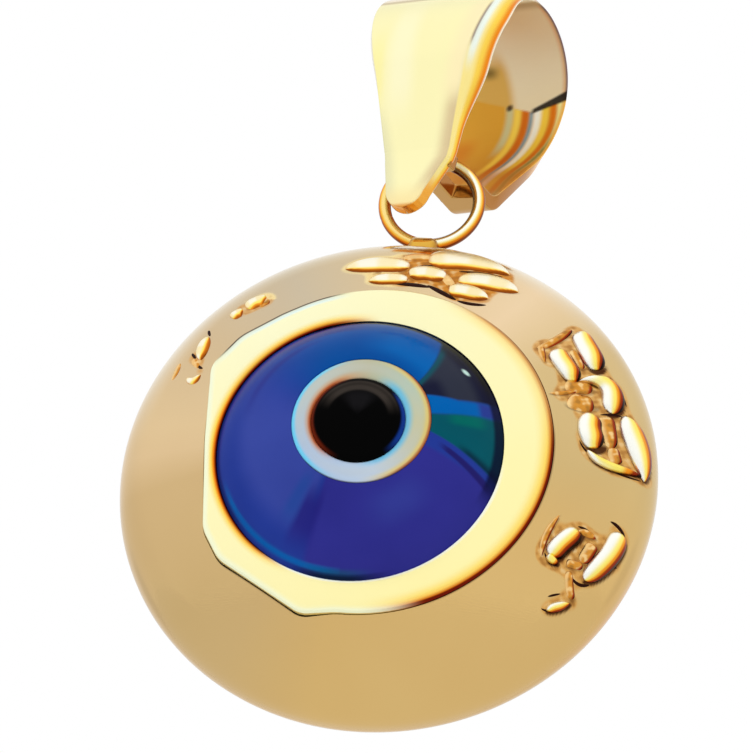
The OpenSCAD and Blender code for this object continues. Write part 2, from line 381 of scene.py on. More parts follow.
def blend_round(angle, stops):
    """Colour at an angle, in straight steps between (angle, colour) stops round the circle."""
    places = [place for place, _ in stops]
    colours = np.array([tone(*colour) for _, colour in stops])
    return joined(*(np.interp(angle, places, colours[:, k], period=360) for k in range(3)))


# Bezel outline


def bezel_reach(angle, centre_x, grow):
    """Distance of the bezel's edge from a point on the x axis. About the bezel's own centre it is
    a circle, and on the left the straight cuts: lines a distance away along their normals."""
    fine = full_turn(360 * PER_DEGREE)
    direction = joined(np.cos(fine), np.sin(fine))
    sides = np.diff(BEZEL_CORNERS, axis=0)
    normals = joined(sides[:, 1], -sides[:, 0])
    normals = normals / np.linalg.norm(normals, axis=1, keepdims=True)
    normals *= np.sign(np.einsum("ij,ij->i", normals, BEZEL_CORNERS[:-1]))[:, None]
    away = np.einsum("ij,ij->i", normals, BEZEL_CORNERS[:-1])
    straight = (away / np.maximum(direction @ normals.T, 1e-6)).min(axis=1) * (1 + grow / BEZEL_R)
    first, last = (np.arctan2(y, x) % (2 * np.pi) for x, y in BEZEL_CORNERS[[0, -1]])
    reach = np.where((fine > first) & (fine < last), straight, BEZEL_R + grow)
    # A running mean over a few degrees rounds the corners
    width = int(CORNER_ROUND * PER_DEGREE)
    wrapped = np.concatenate((reach[-width:], reach, reach[:width]))
    reach = np.convolve(wrapped, np.ones(2 * width + 1) / (2 * width + 1), "valid")
    x, y = BEZEL_X + reach * np.cos(fine) - centre_x, reach * np.sin(fine)
    return np.interp(angle, np.unwrap(np.arctan2(y, x)), np.hypot(x, y), period=2 * np.pi)


# Body


def front_height(r):
    """Height of the shoulder at a distance from the body's axis: a large arc."""
    return -CAP_DROP + np.sqrt(CAP_R**2 - r**2)


def shoulder(x, y):
    """Points of the body's front over face-on places, and the directions out of it: the large
    arc of the shoulder, and outside it the quarter circle of the rim."""
    r = np.hypot(x, y)
    safe = np.maximum(r, 1e-6)
    on_rim = r > JOIN_R
    rim_sine = np.clip((r - RIM_X) / RIM_R, 0, 1)
    out_r = np.where(on_rim, rim_sine, r / CAP_R)
    out_z = np.sqrt(np.maximum(1 - out_r**2, 0))
    z = np.where(on_rim, RIM_R * out_z, front_height(np.minimum(r, JOIN_R)))
    normal = joined(out_r * x / safe, out_r * y / safe, out_z)
    return joined(x, y, z), normal


def leaf_line(leaf, share):
    """Places on a leaf's midline, the directions along it and the half widths there. The line is
    a parabola through three places. The width is that of a squared ellipse, with round ends."""
    start, middle, end = np.reshape(leaf[:6], (3, 2))
    width, ends, taper = (*leaf[6:], 0, 0)[:3]
    control = 2 * middle - (start + end) / 2
    u = (share[..., None] + 1) / 2
    places = start * (1 - u) ** 2 + control * 2 * u * (1 - u) + end * u**2
    slope = (control - start) * (1 - u) + (end - control) * u
    slope = slope / np.linalg.norm(slope, axis=-1, keepdims=True)
    blunt = np.where(share < 0, ends % 2, ends // 2)
    rounding = (1 - np.abs(share) ** (2.2 + 2.8 * blunt)) ** (0.7 - 0.2 * blunt)
    return places, slope, width / 2 * rounding * (1 - taper * share)


def all_leaves():
    """Each leaf with the name of its sprig and its kind."""
    for (name, kind), leaves in SPRIGS.items():
        for leaf in leaves:
            yield name, kind, leaf


def mottle(x, y):
    """Small uneven spots over face-on places, from 0 to 1: crossed long and short waves."""
    long_waves = np.sin(13 * x + 5 * y) * np.sin(11 * y - 4 * x)
    short_waves = np.sin(23 * x - 9 * y + 1) * np.sin(27 * y + 8 * x)
    return 0.5 + (long_waves + 0.6 * short_waves) / 3.2


def near_leaves(x, y):
    """How much the leaves close in a face-on place, and how dark their edges shade it. Each leaf
    is a row of discs along its midline, and adds a value that fades with the distance from the
    nearest one. Its shade is narrower, and falls on the side away from the light."""
    closed, shade = np.zeros_like(x), np.zeros_like(x)
    discs = np.linspace(-0.97, 0.97, 37)
    for name, kind, leaf in all_leaves():
        places, _, half = leaf_line(leaf, discs)
        centre = places[len(discs) // 2]
        near = np.flatnonzero(np.hypot(x - centre[0], y - centre[1]) < LEAF_REACH)
        step = joined(x[near], y[near])[:, None] - places
        reach = np.linalg.norm(step, axis=-1)
        nearest = (np.arange(len(near)), np.argmin(reach - half, axis=1))
        distance = np.maximum((reach - half)[nearest], 0)
        facing = (step[nearest] @ np.array(SHADE_SIDE[name])) / np.maximum(reach[nearest], 1e-6)
        fill = np.exp(-((distance / FILL_REACH) ** 2))
        closed[near] += KIND_FILL[kind] * fill * SPRIG_FILL[name]
        dark = LEAF_DEPTH[name] * np.exp(-((distance / SHADE_REACH) ** 2))
        dark = dark * smooth(-0.1, 0.8, facing) * KIND_SHADE[kind]
        shade[near] = np.maximum(shade[near], dark)
    return closed, shade


def make_body():
    """The puffed shell: rings round the body's axis. From the pole of the back, each ring's
    radius and height follow a large arc, the round rim, the arc of the front, the step down to
    the bezel's seat and the cup."""
    angles = full_turn(900)
    wall = bezel_reach(angles, 0, SEAM)
    rim_turn = math.acos(JOIN_SINE)
    rings = []

    def ring(radius, height):
        rings.append(joined(radius * np.cos(angles), radius * np.sin(angles), height))

    for r in JOIN_R * np.linspace(0, 1, 8)[1:]:
        ring(r, -front_height(r))
    for turn in (*np.linspace(-rim_turn, 0, 9)[1:], *np.linspace(0, rim_turn, 30)[1:]):
        ring(RIM_X + RIM_R * math.cos(turn), RIM_R * math.sin(turn))
    round_off = 0.015
    for part in np.linspace(0, 1, 50)[1:]:
        r = JOIN_R + (wall + round_off - JOIN_R) * part
        ring(r, front_height(r))
    edge_z = front_height(wall)
    for down, out in corner(round_off, 30, 90, 3):
        ring(wall + out, edge_z - down)
    ring(wall, np.minimum(BEZEL_SEAT, edge_z - round_off - 0.02))
    # The seat's inner edge and the cup, round the dome's own centre
    for z in (BEZEL_SEAT - 0.01, GIRDLE_Z - GAP):
        aside = np.sqrt((GIRDLE_R + GAP) ** 2 - (DOME_X * np.sin(angles)) ** 2)
        ring(DOME_X * np.cos(angles) + aside, z)
    points, faces = skin(np.array(rings), (0, 0, -BODY_HALF), (DOME_X, 0, GIRDLE_Z - GAP))
    x, y, z = points.T
    r, angle = np.hypot(x, y), bearing(x, y)
    closed, shade = near_leaves(x, y)
    spots = mottle(x, y)
    front = z > 0
    from_bezel = r - bezel_reach(np.radians(angle), 0, 0)
    # Painted shade: a dark line along the bezel's edge, strongest at the upper left
    bezel_edge_shade = band(98, 148, 6, angle) + 0.4 * band(224, 252, 4, angle)
    bezel_edge_shade += 0.5 * (band(-5, 12, 6, angle) + band(292, 366, 8, angle))
    on_top = front * (y > TOP_FROM)
    # Over the painted reflections round the shoulder and a plain gold back: a painted highlight
    # along the upper rim, a painted orange reflection low on the right rim, painted warm shade and
    # sheen in the hollows between the leaves with uneven darker and paler spots, and painted shade
    # beside the leaves and along the bezel
    colour = paint(
        blend_round(angle, SHOULDER_REFLECTIONS),
        (fade(-1.2, 0.3, z), (208, 172, 108)),
        (0.75 * band(50, 165, 15, angle) * front * smooth(6.5, 7.3, r), (246, 236, 214)),
        (0.4 * band(-0.4, -0.1, 0.1, z) * band(322, 350, 14, angle), (230, 152, 74)),
        (0.7 * smooth(0.95, 1.3, closed) * front, (214, 152, 68)),
        (0.8 * smooth(1, 1.45, closed) * on_top, (206, 126, 10)),
        (0.8 * smooth(0.7, 1.1, closed) * on_top * fade(-0.5, -0.1, x), (252, 230, 164)),
        (0.6 * smooth(1.1, 1.5, closed) * smooth(0.45, 0.75, spots) * front, (150, 92, 36)),
        (0.6 * smooth(1.1, 1.5, closed) * fade(0.2, 0.4, spots) * front, (236, 206, 150)),
        (0.95 * smooth(0.15, 0.85, shade) * front, (64, 28, 16)),
        (bezel_edge_shade * fade(0.02, 0.05, from_bezel) * front, (80, 36, 22)),
    )
    piece = mesh_piece("puffed_body", stood(points), faces, colour)
    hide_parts("body_shell")
    return piece


# Tones that the leaves share: painted shade in brown and near black, and a painted glint
SHADE_BROWN, SHADE_DARK, GLINT = (150, 48, 16), (30, 14, 12), (252, 216, 150)


def leaf_tones(name, kind, lee, high, share, spots):
    """Colours of a leaf's top, painted light and shade over the gold. Bright leaves are pale as a
    painted highlight, palest towards the light, with a painted warm sheen in soft bands and low on
    the leaf, and painted shade in steps towards the lee and at the foot. Amber leaves have uneven
    spots, painted glints and painted shade towards the lee. Dark lines are painted dark all over.
    """
    depth, glow = LEAF_DEPTH[name], LEAF_WARM_SHEEN[name]
    if kind == "vein":
        return np.broadcast_to(tone(46, 22, 16), (*lee.shape, 3))
    if kind == "amber":
        return paint(
            tone(216, 146, 56),
            (0.8 * smooth(0.55, 0.8, spots), (168, 116, 50)),
            (0.8 * fade(0.2, 0.42, spots), GLINT),
            (0.7 * smooth(0.1, 0.6, -lee), GLINT),
            (smooth(0.3, 0.6, lee), SHADE_BROWN),
            (smooth(0.7, 0.9, lee), SHADE_DARK),
        )
    wave = smooth(0.2, 0.8, 0.5 + 0.5 * np.sin(5 * share))[:, None]
    return paint(
        tone(255, 248, 200),
        (smooth(0.1, 0.5, -lee), (255, 255, 246)),
        (glow * (0.25 + 0.4 * wave), (252, 226, 140)),
        (0.75 * glow * fade(0.3, 0.62, high), (226, 160, 70)),
        (smooth(-0.35, 0.05, lee), (255, 236, 112)),
        (smooth(0.1, 0.3, lee), (244, 150, 36)),
        (smooth(0.36, 0.52, lee) * (0.5 + 0.5 * depth), SHADE_BROWN),
        (smooth(0.62, 0.78, lee) * depth, SHADE_DARK),
        (0.6 * fade(0.1, 0.3, high) * depth, (120, 84, 44)),
    )


def make_sprig(name):
    """A cast sprig: each leaf a puffed cushion on the shoulder. Across, its height is that of an
    ellipse. Along, it fades to both ends. Its foot is sunk in the shoulder."""
    share = np.sin(np.linspace(-1, 1, 48) * np.pi / 2)
    part = np.linspace(-1, 1, 28)
    # Steps across crowd towards the steep sides
    side = np.sign(part) * (1 - (1 - np.abs(part)) ** 1.7)
    away = np.array(LEE_SIDE[name])
    leaves, count = [], 0
    for sprig, kind, leaf in all_leaves():
        if sprig != name:
            continue
        places, slope, half = leaf_line(leaf, share)
        sideways = joined(-slope[:, 1], slope[:, 0])
        flat = places[:, None] + sideways[:, None] * (side * half[:, None])[..., None]
        end = (1 - np.abs(share) ** 4) ** 0.5
        high = end[:, None] * (1 - np.abs(side) ** 2.5) ** 0.55 * min(1, 0.5 + leaf[6])
        base, normal = shoulder(flat[..., 0], flat[..., 1])
        rise = max(LEAF_RISE[name] * KIND_RISE[kind], LEAST_RISE)
        top = base + normal * (rise * high - LEAF_SINK)[..., None]
        low = base - normal * LEAF_FOOT
        rings = np.concatenate((top, low[:, ::-1]), axis=1)
        points, (corners, sizes) = skin(rings[1:-1], rings[0].mean(axis=0), rings[-1].mean(axis=0))
        # How far each point of the top faces away from the light, which sets its painted shade
        endwards = slope @ away * share * np.abs(share) ** 1.5
        lee = (sideways @ away)[:, None] * side + endwards[:, None]
        lee = (np.clip(lee, -1, 1) - LEE_FROM[name]) / (1 - LEE_FROM[name])
        tones = leaf_tones(name, kind, lee, high, share, mottle(flat[..., 0], flat[..., 1]))
        # The sunk foot is painted in the near-black shade tone and the two ends in the brown one
        tones = np.concatenate((tones, np.broadcast_to(tone(*SHADE_DARK), tones.shape)), axis=1)[1:-1]
        tones = np.vstack((tones.reshape(-1, 3), tone(*SHADE_BROWN), tone(*SHADE_BROWN)))
        leaves.append((points, corners + count, sizes, tones))
        count += len(points)
    points, corners, sizes, tones = (np.concatenate(parts) for parts in zip(*leaves))
    faces = (corners, sizes)
    piece = mesh_piece("sprig_" + name, stood(points), faces, tones)
    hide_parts("body_shell")
    return piece


def make_lug():
    """The lug: a barrel along X with rounded ends. It lies low, so that the jump ring's wire
    shows in its top."""
    angles = full_turn(48)
    r, x = np.transpose((LUG_R, LUG_HALF) - np.array(corner(LUG_ROUND, 0, 90, 9)))
    x, r = np.append(-x[::-1], x)[:, None], np.append(r[::-1], r)[:, None]
    centre = RING_UP - RING_R - LUG_LOWER
    rings = joined(x, r * np.cos(angles) + centre, r * np.sin(angles) + LUG_FORWARD)
    points, faces = skin(rings, *((side * LUG_HALF, centre, LUG_FORWARD) for side in (-1, 1)))
    x, y, z = points.T
    # Painted light: a painted highlight on top, and painted shade underneath and at both ends
    colour = paint(
        tone(226, 176, 72),
        (smooth(0.1, 0.3, y - centre), (236, 214, 160)),
        (smooth(0.2, 0.38, centre - y), (170, 92, 30)),
        (0.7 * smooth(LUG_HALF - 0.2, LUG_HALF, np.abs(x)), (150, 90, 40)),
    )
    piece = mesh_piece("lug", stood(points), faces, colour)
    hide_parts("body_shell")
    return piece


# Bezel ring


def make_bezel():
    """The bezel ring: a rounded flat section carried round the dome's centre, between the glass
    and the ring's outline. The face is crowned a little, as a parabola."""
    angles = full_turn(1200)
    cos, sin = np.cos(angles), np.sin(angles)
    outer = bezel_reach(angles, DOME_X, 0)
    inner = (DOME_R + GAP) / np.hypot(cos / GLASS_NARROW, sin) + GLASS_LOW * sin
    out_round, in_round, crown, chamfer = 0.08, 0.05, 0.03, 0.03
    under = BEZEL_SEAT + GAP
    # Stations of the section: the share of the way out, a step further out, and the height
    stations = [(0, 0, under)]
    stations += [(0, step, BEZEL_FACE - down) for step, down in corner(in_round, 0, 90, 6)]
    for share in np.linspace(0, 1, 13)[1:-1]:
        stations.append((share, None, BEZEL_FACE + crown * 4 * share * (1 - share)))
    stations += [(1, -step, BEZEL_FACE - down) for step, down in corner(out_round, 90, 0, 8)]
    stations += [(1, 0, under + chamfer), (1, -chamfer, under), (0.5, 0, under)]
    rings = []
    for share, step, z in stations:
        if step is None:
            radius = inner + in_round + (outer - out_round - inner - in_round) * share
        else:
            radius = inner + (outer - inner) * share + step
        rings.append(joined(radius * cos + DOME_X, radius * sin, z))
    rings = np.array(rings)
    points, faces = skin(rings, looped=True)
    from_glass = np.hypot(rings[..., 0] - DOME_X, rings[..., 1]) - inner
    from_edge = outer - inner - from_glass
    turn = np.degrees(angles)
    low_turn = bearing(cos, sin, -180)
    # Where painted light lies round the ring: warm painted reflections with painted shade along the
    # inner and outer edges, a painted highlight on the outer edge, and at the upper left a painted
    # shade line with a pale painted line inside it
    inner_reflection = band(100, 240, 12, turn)
    outer_reflection = band(-72, 12, 12, low_turn) + 0.5 * band(12, 62, 12, low_turn)
    outer_shade_and_glint = band(104, 148, 5, turn)
    outer_highlight = band(150, 290, 8, turn)
    # Pale yellow gold round the ring, brightened by painted reflection, with the painted edges and
    # a painted highlight along the glass low on the right
    colour = paint(
        blend_round(turn, [
            (0, (254, 245, 178)), (60, (253, 248, 196)), (130, (252, 249, 205)),
            (190, (254, 247, 190)), (230, (253, 245, 186)), (300, (254, 243, 172)),
        ]),
        *((inner_reflection * fade(near, far, from_glass), coat) for near, far, coat in (
            (0.12, 0.32, (255, 218, 84)), (0.08, 0.16, (242, 126, 14)), (0.04, 0.09, (110, 18, 8)),
        )),
        (band(245, 352, 10, turn) * fade(0.03, 0.09, from_glass), (246, 254, 255)),
        *((outer_reflection * fade(near, far, from_edge), coat) for near, far, coat in (
            (0.16, 0.5, (255, 222, 104)), (0.1, 0.2, (242, 134, 22)), (0.05, 0.1, (112, 26, 12)),
        )),
        (0.6 * outer_highlight * fade(0.08, 0.2, from_edge), (240, 250, 226)),
        (outer_shade_and_glint * band(0.08, 0.16, 0.02, from_edge), (226, 246, 244)),
        (outer_shade_and_glint * fade(0.05, 0.09, from_edge), (58, 32, 28)),
    ).reshape(-1, 3)
    piece = mesh_piece("bezel_face_ring", stood(points), faces, colour)
    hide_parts("bezel_ring")
    return piece


# Glass


def ball_height(x, y):
    """Height of the glass over a face-on point: a ball's, pressed a little from both sides."""
    return BALL_Z + np.sqrt(BALL_R**2 - ((x - DOME_X) / GLASS_NARROW) ** 2 - (y - GLASS_LOW) ** 2)


def glass_tones(points):
    """Colours of the blue glass, painted reflections over its own blue: fans of blues, teal and
    charcoal round the dome's centre, a bright arc low on the left, and a darker line along the rim
    as painted shade."""
    slate, violet, azure = (56, 72, 160), (48, 48, 142), (0, 78, 158)
    bright, indigo, teal = (0, 98, 178), (38, 36, 128), (4, 86, 100)
    charcoal, night, ink, green = (46, 50, 66), (8, 10, 46), (4, 4, 20), (0, 108, 98)
    x, y = (points[:, 0] - DOME_X) / GLASS_NARROW, points[:, 1] - GLASS_LOW
    r = np.hypot(x, y)
    turn = bearing(x, y, -90)
    # The charcoal fan's edges lean, and so does the lower edge of the teal one
    upper_edge = 58 + 12 * (r - 3.65)
    lower_edge = 23 + 6 * np.maximum(3 - r, 0)
    azure_edge = 14 + 2.5 * (r - 3)
    teal_edge = -2.5 - 4.5 * (r - 2.2)
    fan = smooth(-1.2, 1.2, turn - lower_edge) * fade(-1.2, 1.2, turn - upper_edge)
    azure_fan = smooth(-1.5, 1.5, turn - azure_edge) * fade(-1.5, 1.5, turn - lower_edge)
    teal_fan = smooth(-1, 1, turn - teal_edge) * fade(-1.5, 1.5, turn - azure_edge)
    line_edge = teal_edge - 4.5
    over_fan = smooth(-1.2, 1.2, turn - upper_edge)
    # A small painted highlight, longer than it is wide, on the upper right
    across = (x - 2.74) * 0.66 + (y - 2.36) * 0.75
    along = (y - 2.36) * 0.66 - (x - 2.74) * 0.75
    return paint(
        tone(36, 58, 150),
        (smooth(136, 186, turn) * fade(247, 254, turn) * fade(2.9, 3.6, r), slate),
        (fade(-16, -12, turn), violet),
        (smooth(252, 256, turn), violet),
        (0.4 * band(-70, -40, 12, turn) * band(2.3, 3, 0.3, r), slate),
        (over_fan * fade(108, 168, turn + 9 * (r - 2.4)), azure),
        (over_fan * fade(70, 100, turn) * band(2.4, 3.4, 0.3, r), bright),
        (0.7 * band(96, 132, 8, turn) * band(3.4, 3.75, 0.12, r), indigo),
        (0.5 * band(120, 165, 12, turn) * band(3.1, 3.3, 0.1, r), indigo),
        (0.9 * band(244, 256, 2.5, turn + 2 * (r - 3)) * band(2.3, 3.5, 0.4, r), indigo),
        (0.4 * band(236, 244, 3, turn) * band(2, 3.1, 0.3, r), azure),
        (fan, charcoal),
        (0.7 * fan * band(2, 2.7, 0.2, r) * fade(34, 44, turn), night),
        (0.8 * fan * smooth(-5, -1, turn - upper_edge), teal),
        (0.9 * fan * smooth(3.35, 3.75, r), night),
        (azure_fan, bright),
        (0.8 * azure_fan * smooth(3.4, 3.6, r), violet),
        (teal_fan, teal),
        (0.9 * teal_fan * smooth(-1, 3, turn - azure_edge + 7) * band(2.7, 3.55, 0.2, r), green),
        (0.8 * teal_fan * fade(0, 5, turn - teal_edge) * smooth(2.8, 3.3, r), night),
        (0.9 * band(-2.2, 1.2, 0.8, turn - line_edge) * band(2.6, 3.9, 0.2, r), (34, 26, 98)),
        (0.85 * band(205, 268, 8, turn) * band(3.82, 3.93, 0.04, r), bright),
        (0.5 * band(258, 278, 8, bearing(x, y)) * smooth(3.8, 3.9, r), teal),
        (0.8 * band(252, 284, 10, bearing(x, y)) * smooth(3.92, 3.97, r), ink),
        (0.9 * smooth(3.76, 3.86, r) * band(-18, 35, 8, turn), night),
        (0.9 * smooth(3.78, 3.9, r) * band(30, 118, 6, turn), ink),
        (0.5 * smooth(3.9, 3.97, r) * band(110, 222, 8, turn), night),
        (fade(0.4, 1, np.hypot(across, along * 0.5) / 0.09), (200, 232, 226)),
    )


def white_reach(angles):
    """Radius of the white ring: a circle with two low bulges, each a sine squared."""
    return WHITE_R + WHITE_BULGE * np.sin(angles + BULGE_TURN) ** 2


def make_dome():
    """The blue dome: rings about the white ring's axis, from the floor of its pit, over the
    pit's edge and the ball, to the girdle and the flat back."""
    angles = full_turn(900)
    cos, sin = np.cos(angles), np.sin(angles)
    pit = white_reach(angles) + SEAM
    aside = DOME_X - WHITE_X
    girdle = aside * cos + np.sqrt(GIRDLE_R**2 - (aside * sin) ** 2)
    floor, lip = -INLAY_DEEP - GAP, 0.01
    # Radius and depth under the ball of each ring
    profile = [(share * pit, floor) for share in np.linspace(0, 1, 10)[1:]]
    profile.append((pit, -EDGE_DROP))
    profile += [(pit + lip + (girdle - pit - lip) * share, 0) for share in np.linspace(0, 1, 56)]
    rings = []
    for radius, drop in profile:
        x, y = WHITE_X + radius * cos, radius * sin
        rings.append(joined(x, y, ball_height(x, y) + drop))
    rings.append(joined(x, y, GIRDLE_Z))
    middle = (WHITE_X, 0, float(ball_height(WHITE_X, 0)) + floor)
    points, faces = skin(np.array(rings), middle, (DOME_X, 0, GIRDLE_Z))
    colour = glass_tones(points)
    piece = mesh_piece("eye_glass", stood(points), faces, colour)
    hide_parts("glass_dome")
    return piece


def make_white_ring():
    """The white ring: a section with a round top carried round, lying on the ball's curve."""
    angles = full_turn(240)
    # Its hole, round the pupil, lies off its centre
    off, off_turn = math.hypot(*PUPIL_OFF), math.atan2(PUPIL_OFF[1], PUPIL_OFF[0])
    lag = off * np.sin(angles - off_turn)
    inner = off * np.cos(angles - off_turn) + np.sqrt((PUPIL_R + SEAM) ** 2 - lag**2)
    outer = white_reach(angles)
    # Radius and height over the ball of each ring
    profile = []
    for share in np.linspace(0, 1, 17):
        bow = math.sin(math.pi * share) ** 0.6 if 0 < share < 1 else 0
        rise = WHITE_RISE * bow - EDGE_DROP * (1 - bow)
        profile.append((inner + (outer - inner) * share, rise))
    profile += [(outer, -INLAY_DEEP), (inner, -INLAY_DEEP)]
    radii = np.array([r for r, _ in profile])
    x, y = WHITE_X + radii * np.cos(angles), radii * np.sin(angles)
    z = ball_height(x, y) + np.array([rise for _, rise in profile])[:, None]
    points, faces = skin(joined(x, y, z), looped=True)
    part = (radii - inner) / (outer - inner)
    turn, right = np.degrees(angles), bearing(np.cos(angles), np.sin(angles), -180)
    # Painted light over the white glass: painted shading round the ring, warm grey above and bluish
    # below, a painted highlight on its crown, coloured fringes of light in cyan, orange and dark
    # red along its edges, and painted shade low on its outer edge
    colour = paint(
        blend_round(turn, [
            (0, (204, 200, 150)), (45, (178, 200, 176)), (90, (190, 188, 158)),
            (160, (190, 202, 200)), (220, (176, 200, 232)), (290, (194, 212, 232)),
            (330, (200, 202, 176)),
        ]),
        (0.3 * band(0.3, 0.75, 0.2, part), (200, 204, 200)),
        (0.95 * band(118, 242, 20, turn) * smooth(0.72, 0.9, part), (110, 214, 250)),
        (0.75 * band(100, 235, 20, turn) * fade(0.12, 0.4, part), (214, 158, 100)),
        (0.9 * band(120, 232, 16, turn) * fade(0.05, 0.2, part), (190, 84, 24)),
        (0.8 * band(-75, 62, 18, right) * fade(0.1, 0.4, part), (84, 196, 240)),
        (0.8 * band(-70, 70, 18, right) * smooth(0.7, 0.86, part), (232, 206, 110)),
        (0.9 * band(-60, 60, 18, right) * smooth(0.86, 0.97, part), (176, 70, 40)),
        (0.8 * band(225, 320, 12, turn) * smooth(0.93, 1, part), (56, 44, 76)),
    ).reshape(-1, 3)
    piece = mesh_piece("iris_ring", stood(points), faces, colour)
    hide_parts("white_ring")
    return piece


def make_pupil():
    """The pupil: a low round button on the ball's curve, its edge rounded as a quarter circle."""
    angles = full_turn(200)
    rounding, edge_drop = 0.16, 0.1
    flat = 1 - rounding / PUPIL_R
    profile = [(PUPIL_R * share, PUPIL_RISE) for share in np.linspace(0, 1, 15)[1:] * flat]
    for t in np.radians(np.linspace(10, 90, 9)):
        rise = PUPIL_RISE - edge_drop * (1 - math.cos(t))
        profile.append((PUPIL_R - rounding * (1 - math.sin(t)), rise))
    profile.append((PUPIL_R, -INLAY_DEEP))
    radii, rises = np.array(profile).T[..., None]
    middle = np.array((WHITE_X, 0)) + PUPIL_OFF
    x, y = middle[0] + radii * np.cos(angles), middle[1] + radii * np.sin(angles)
    crown = float(ball_height(*middle))
    poles = ((*middle, crown + PUPIL_RISE), (*middle, crown - INLAY_DEEP))
    points, faces = skin(joined(x, y, ball_height(x, y) + rises), *poles)
    px, py = points[:, 0] - middle[0], points[:, 1] - middle[1]
    r, turn = np.hypot(px, py), bearing(px, py, -90)
    # Over the black glass: painted sheen in arcs at the top and dimly in the middle, and painted
    # fringes of light, dark red on the left edge and blue on the right
    sheen_arcs = 0.3 + 0.7 * (0.5 + 0.5 * np.cos((r - 1.0) * 2 * np.pi / 0.13))
    colour = paint(
        tone(2, 2, 2),
        (0.9 * band(0.86, 1.14, 0.08, r) * band(28, 150, 22, turn) * sheen_arcs, (76, 68, 62)),
        (0.3 * band(0.2, 0.8, 0.2, r) * band(60, 125, 18, turn), (44, 42, 46)),
        (0.9 * band(120, 235, 20, turn) * smooth(1.17, 1.25, r), (110, 34, 10)),
        (0.8 * smooth(-50, -20, turn) * fade(30, 50, turn) * smooth(1.16, 1.24, r), (20, 60, 150)),
    )
    piece = mesh_piece("pupil_button", stood(points), faces, colour)
    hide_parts("pupil")
    return piece


# Jump ring


def make_jump_ring():
    """The jump ring: a round wire carried round a circle, a torus with a fine solder seam."""
    around, across = full_turn(240), full_turn(48)
    seam_turn, seam_wide, seam_deep = math.radians(205), 0.035, 0.035
    seam = 1 - seam_deep * np.exp(-(((around - seam_turn) / seam_wide) ** 2))
    bar = (WIRE_R * seam)[:, None]
    reach = RING_R + bar * np.cos(across)
    up, aside = reach * np.sin(around)[:, None] + RING_UP, reach * np.cos(around)[:, None]
    rings = joined(aside, up, bar * np.sin(across))
    points, faces = skin(rings, looped=True)
    # Painted light on the wire: paler on the right, a painted highlight along its front, painted
    # yellow to brown reflection towards its outer side, and painted orange reflection with painted
    # shade on its inner side, greyer on the right
    out = np.cos(across)
    right = smooth(-0.3, 0.5, np.cos(around))[:, None]
    colour = paint(
        tone(250, 222, 140),
        (right, (255, 250, 184)),
        (smooth(-0.5, 0, out) * fade(0.1, 0.4, out) * right, (255, 255, 246)),
        (smooth(0.3, 0.6, out), (252, 190, 60)),
        (smooth(0.6, 0.8, out), (224, 122, 30)),
        (smooth(0.82, 0.96, out), (130, 66, 34)),
        (fade(-0.7, -0.4, out), (206, 110, 50)),
        (fade(-0.7, -0.4, out) * right, (150, 160, 168)),
        (fade(-0.94, -0.8, out), (96, 26, 16)),
    ).reshape(-1, 3)
    piece = mesh_piece("wire_ring", stood(points), faces, colour)
    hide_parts("jump_ring")
    return piece


# Bail


def touch_angle(start, start_r, end, end_r, side):
    """Angle at which a line touches the outside of two circles, on the side given."""
    line = np.subtract(end, start)
    return math.atan2(line[1], line[0]) + side * math.acos((start_r - end_r) / math.hypot(*line))


def arc(centre, radius, begin, finish, count):
    """Points on a circle's arc, in the order given."""
    turn = np.linspace(begin, finish, count)
    return joined(centre[0] + radius * np.cos(turn), centre[1] + radius * np.sin(turn))


def band_edges(along, up):
    """Distances of the band's left and right edges from its middle, at places of its section.
    Upwards it widens in a straight taper and then in an arc. Below the bridge it narrows to a
    round tip, a little to the left. Notches leave the bridge narrow."""
    straight = BAND_HALF + BAND_TAPER * up
    arc_top = BAND_HALF + BAND_TAPER * BEND_FROM - BEND_R * math.cos(BEND_TURN)
    bent = arc_top + np.sqrt(np.maximum(BEND_R**2 - (LOOP_TOP - up) ** 2, 0))
    above = np.where(up < BEND_FROM, straight, bent)
    shoulder_up = TIP_R - TONGUE_DOWN - TIP_R * math.cos(SHOULDER_TURN)
    tip = np.sqrt(np.clip(TIP_R**2 - (up - TIP_R + TONGUE_DOWN) ** 2, 0, None))
    edges = []
    for side in (-1, 1):
        shoulder_x = TIP_R * math.sin(SHOULDER_TURN) + side * TIP_X
        taper = shoulder_x + (BAND_HALF - shoulder_x) * (up - shoulder_up) / -shoulder_up
        edge = np.where(up > 0, above, np.where(up > shoulder_up, taper, tip + side * TIP_X))
        place, notch = (along, NOTCH_TO) if side > 0 else (up, NOTCH_UP)
        free = smooth(notch, notch + NOTCH_SOFT, place)
        behind = along > FRONT[0] + 0.02
        low = up < NOTCH_UP + 0.3
        narrow = BRIDGE_HALF + np.maximum(edge - BRIDGE_HALF, 0) * free
        edges.append(np.where(behind & low, narrow, edge))
    return edges


def bail_path():
    """The band's middle line in section, as points (along, up): up the tongue and the front leaf,
    over the loop, down the back leaf, round the foot and forward along the bridge."""
    half = BAND_T / 2
    front_angle = touch_angle(LOOP, LOOP_R, FRONT, FRONT_R, -1) % (2 * math.pi)
    back_angle = touch_angle(LOOP, LOOP_R, BACK, BACK_R, 1)
    touch = arc(FRONT, FRONT_R - half, front_angle, front_angle, 1)
    tongue = joined(touch[0, 0], np.linspace(-TONGUE_DOWN + 0.001, touch[0, 1] - 0.1, 30))
    over = arc(LOOP, LOOP_R - half, front_angle, back_angle, 160)
    heel = arc(BACK, BACK_R - half, back_angle, -math.pi / 2, 30)
    return np.vstack((tongue, touch, over, heel, (FRONT[0] - BRIDGE_REACH, 0)))


